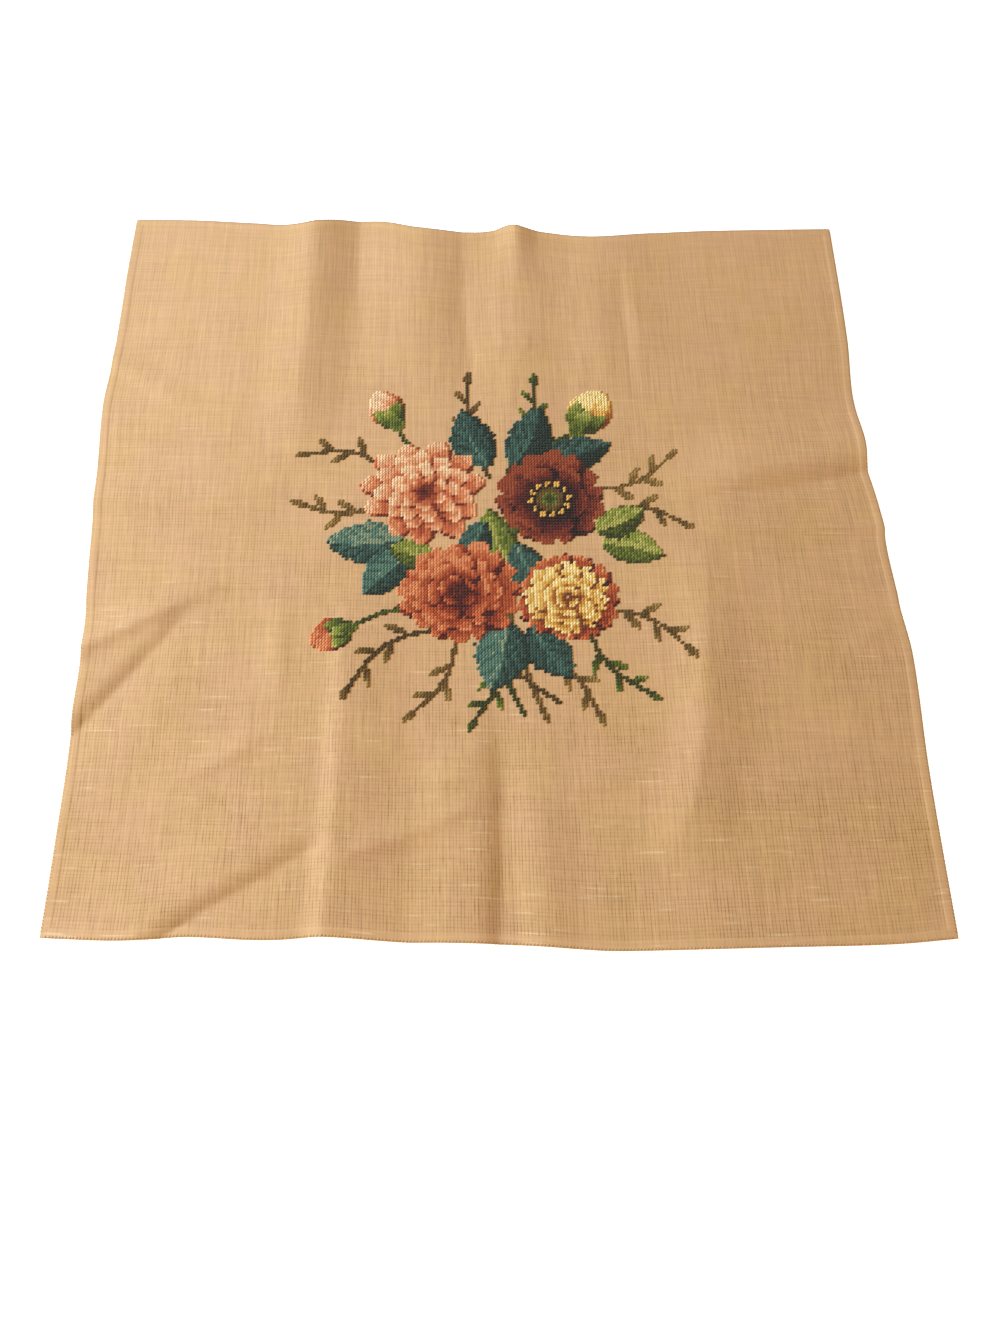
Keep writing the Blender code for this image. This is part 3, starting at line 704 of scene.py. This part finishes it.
def meshData(thing):  # the points, faces and UV of a small mesh, whose object is removed
    mesh = thing.data
    points = np.array([vertex.co[:] for vertex in mesh.vertices])
    faces = [list(face.vertices) for face in mesh.polygons]
    uv = np.empty(len(mesh.loops) * 2)
    mesh.uv_layers[0].uv.foreach_get("vector", uv)
    bpy.data.objects.remove(thing)
    return points, faces, uv.reshape(-1, 2)


def repeated(name, single, places, tones, material):  # one object with a copy of the small mesh at each place
    points, faces, uv = single
    count = len(places)
    copies = [[corner + len(points) * copy for corner in face] for copy in range(count) for face in faces]
    mesh = bpy.data.meshes.new(name)
    mesh.from_pydata(places.reshape(-1, 3), [], copies)
    mesh.uv_layers.new(name="yarn").uv.foreach_set("vector", np.tile(uv, (count, 1)).ravel())
    colour = mesh.color_attributes.new("yarnColour", "FLOAT_COLOR", "POINT")
    colour.data.foreach_set("color", np.repeat(tones, len(points), axis=0).ravel())
    mesh.polygons.foreach_set("use_smooth", np.ones(len(mesh.polygons), bool))
    mesh.materials.append(material)
    thing = bpy.data.objects.new(name, mesh)
    bpy.context.collection.objects.link(thing)
    return thing


# Tapestry wool: soft plies of matt, hairy yarn, with a faint sheen at grazing angles and no gloss.
# Its fuzz is drawn at 0.4 mm, coarser than the hairs are, so that it shows. The hem's thread is
# drawn the same way.
wool = {
    "plyTurns": 3.0, "plyShade": 0.14, "fuzz": 0.4, "fuzzShade": 0.30, "bump": 0.5, "bumpDepth": 0.15,
    "roughness": 0.95, "specular": 0.12, "sheen": 0.2, "sheenRoughness": 0.6,
}


def yarnMaterial(name):
    material = bpy.data.materials.new(name)
    material.use_nodes = True
    tree = material.node_tree
    shader = tree.nodes["Principled BSDF"]
    yarn = addNode(tree, "Attribute", attribute_name="yarnColour")
    uv = addNode(tree, "UVMap", uv_map="yarn")
    along = addNode(tree, "SeparateXYZ", {"Vector": uv}, output=1)
    around = addNode(tree, "SeparateXYZ", {"Vector": uv}, output=0)
    twist = addNode(tree, "Math", {0: along, 1: wool["plyTurns"], 2: around}, operation="MULTIPLY_ADD")
    twist = addNode(tree, "Math", {0: twist, 1: 4.0 * math.pi}, operation="MULTIPLY")
    ply = addNode(tree, "Math", {0: twist}, operation="SINE")
    place = addNode(tree, "TexCoord", output=3)
    fuzz = addNode(tree, "TexNoise", {"Vector": place, "Scale": 1.0 / (wool["fuzz"] * mm), "Detail": 2.0})
    # the ply's turns are painted shade in the grooves between the plies and painted highlight on their
    # crowns; the fuzz is a random tone
    plyShadeAndFuzz = addNode(tree, "Math", {0: ply, 1: wool["plyShade"] / 2, 2: 1.0 - wool["fuzzShade"] / 2},
                    operation="MULTIPLY_ADD")
    plyShadeAndFuzz = addNode(tree, "Math", {0: fuzz, 1: wool["fuzzShade"], 2: plyShadeAndFuzz}, operation="MULTIPLY_ADD")
    colour = addNode(tree, "VectorMath", {0: yarn, "Scale": plyShadeAndFuzz}, operation="SCALE")
    tree.links.new(colour, shader.inputs["Base Color"])
    height = addNode(tree, "Math", {0: ply, 1: 0.5, 2: fuzz}, operation="MULTIPLY_ADD")
    bump = addNode(tree, "Bump", {"Height": height, "Strength": wool["bump"],
                                  "Distance": wool["bumpDepth"] * mm})
    tree.links.new(bump, shader.inputs["Normal"])
    shader.inputs["Roughness"].default_value = wool["roughness"]
    shader.inputs["Specular IOR Level"].default_value = wool["specular"]
    shader.inputs["Sheen Weight"].default_value = wool["sheen"]
    shader.inputs["Sheen Roughness"].default_value = wool["sheenRoughness"]
    return material


def buildStitches(material):
    single = meshData(buildStitch())
    points = single[0]
    jitter = np.random.default_rng(stitch["seed"])
    slant = math.atan2(cloth["pitchUp"], cloth["pitchAcross"])
    made = []
    for piece, name in enumerate(pieceNames):
        rows, columns = np.nonzero((chartPiece == piece) & (chartShade >= 0))
        count = len(rows)
        u = (chartX[rows, columns] + chart["shift"][0] - 0.5) * cloth["pitchAcross"]
        v = (chartY[rows, columns] + chart["shift"][1] + 0.5) * cloth["pitchUp"]
        turn = slant + np.radians(stitch["turnSpread"]) * jitter.standard_normal(count)
        size = 1.0 + stitch["sizeSpread"] * (jitter.random((count, 3)) - 0.5)
        along = points[None, :, 0] * size[:, :1]
        across = points[None, :, 1] * size[:, 1:2]
        lift = points[None, :, 2] * size[:, 2:] + stitch["lift"] + cloth["canvasThick"]
        c, s = np.cos(turn)[:, None], np.sin(turn)[:, None]
        places = clothPoint(u[:, None] + along * c - across * s, v[:, None] + along * s + across * c, lift)
        tones = np.array(yarns)[chartShade[rows, columns]]
        tones[:, :3] *= 1.0 + stitch["toneSpread"] * (jitter.random((count, 1)) * 2.0 - 1.0)
        made.append(repeated(name, single, places, tones, material))
        print(name, count, "stitches")
    return made


stitchPieces = buildStitches(yarnMaterial("tapestry wool"))

# The overcasting that holds the hem: a cotton thread round the edge at every mesh. Its colour is darkened
# past the thread's own greyish tan, as painted shadow of the wraps along the edge.
overcast = {
    "colour": "#8f7a58", "radius": 0.2, "lean": 1.1, "toneSpread": 0.18, "placeSpread": 0.5, "seed": 5,
    "counts": {"left": 252, "right": 252, "near": 257, "far": 257},  # wraps on each edge
    "cornerGap": 3.0,
    "route": [(-1.6, 1.12), (-0.9, 1.34), (-0.1, 1.18), (0.22, 0.8), (0.24, 0.3)],  # out from the edge, up
}


def buildWrap():  # one wrap of thread, extruded along its route
    deselectAll()
    route = overcast["route"]
    bpy.ops.mesh.primitive_circle_add(vertices=5, radius=overcast["radius"], fill_type="NGON", calc_uvs=True,
                                      location=(0, *route[0]), rotation=(math.radians(90), 0, 0))
    wrap = bpy.context.object
    bpy.ops.object.transform_apply(location=True, rotation=True)
    bpy.ops.object.mode_set(mode="EDIT")
    bpy.ops.mesh.select_all(action="SELECT")
    for (out0, up0), (out1, up1) in zip(route, route[1:]):
        step = (overcast["lean"] / (len(route) - 1), out1 - out0, up1 - up0)
        bpy.ops.mesh.extrude_region_move(TRANSFORM_OT_translate={"value": step})
    bpy.ops.mesh.select_all(action="SELECT")
    bpy.ops.mesh.normals_make_consistent(inside=False)
    bpy.ops.object.mode_set(mode="OBJECT")
    return wrap


def buildOvercast(material):
    single = meshData(buildWrap())
    points = single[0]
    jitter = np.random.default_rng(overcast["seed"])
    places = []
    half = cloth["width"] / 2
    for edge, count in overcast["counts"].items():
        along = ((np.arange(count) + 0.5) / count * 2.0 - 1.0) * (half - overcast["cornerGap"])
        along = along + overcast["placeSpread"] * (jitter.random(count) - 0.5)
        s = along[:, None] + points[None, :, 0] - overcast["lean"] / 2
        out = np.broadcast_to(half + points[None, :, 1], s.shape)
        u, v = {"left": (-out, s), "right": (out, -s), "near": (-s, -out), "far": (s, out)}[edge]
        places.append(clothPoint(u, v, points[None, :, 2]))
    places = np.concatenate(places)
    tones = np.tile(linearColour(overcast["colour"]), (len(places), 1))
    tones[:, :3] *= 1.0 + overcast["toneSpread"] * (jitter.random((len(places), 1)) * 2.0 - 1.0)
    return repeated("hem_overcasting", single, places, tones, material)


overcasting = buildOvercast(yarnMaterial("hairy cotton thread"))
print("hem overcast")

# The pieces ride on the panel's one body
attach(canvasCloth, "root")
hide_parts("canvas_panel")
for thing in stitchPieces:
    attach(thing, "root")
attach(overcasting, "root")

# A white table that glows a little, in a warm room with cool light from a low window at the back left
studio = {
    "floor": "#fbfaf8", "floorSize": 12.0, "glow": 0.84, "room": "#ffdda8", "roomStrength": 0.42,
    "key": 92.0, "keyColour": "#d0e4ff", "keyPlace": (-2.06, 0.34, 0.96), "keySize": 0.5,
    "fill": 8.0, "fillColour": "#fff1dc", "fillPlace": (-0.5, -1.4, 1.3), "fillSize": 1.4,
}


def addLight(name, place, size, power, colour):
    deselectAll()
    bpy.ops.object.light_add(type="AREA", location=place)
    light = bpy.context.object
    light.name = name
    light.data.shape = "DISK"
    light.data.size = size
    light.data.energy = power
    light.data.color = linearColour(colour)[:3]
    x, y, z = place
    light.rotation_euler = (math.atan2(math.hypot(x, y), z), 0, math.atan2(y, x) + math.radians(90))


def addStudio():
    deselectAll()
    bpy.ops.mesh.primitive_plane_add(size=studio["floorSize"])
    floor = bpy.context.object
    floor.name = "floor"
    paint = bpy.data.materials.new("matt white acrylic sheet, lit from below")  # white all over, soft shadows
    paint.use_nodes = True
    shader = paint.node_tree.nodes["Principled BSDF"]
    shader.inputs["Base Color"].default_value = linearColour(studio["floor"])
    shader.inputs["Roughness"].default_value = 0.95
    shader.inputs["Specular IOR Level"].default_value = 0.1
    shader.inputs["Emission Color"].default_value = (1.0, 1.0, 1.0, 1.0)
    shader.inputs["Emission Strength"].default_value = studio["glow"]
    floor.data.materials.append(paint)
    for name in ("key", "fill"):
        addLight(name, studio[name + "Place"], studio[name + "Size"], studio[name], studio[name + "Colour"])
    world = bpy.data.worlds.new("room")
    world.use_nodes = True
    world.node_tree.nodes["Background"].inputs["Color"].default_value = linearColour(studio["room"])
    world.node_tree.nodes["Background"].inputs["Strength"].default_value = studio["roomStrength"]
    bpy.context.scene.world = world
    bpy.context.scene.view_settings.view_transform = "Standard"


addStudio()
print("studio lit")
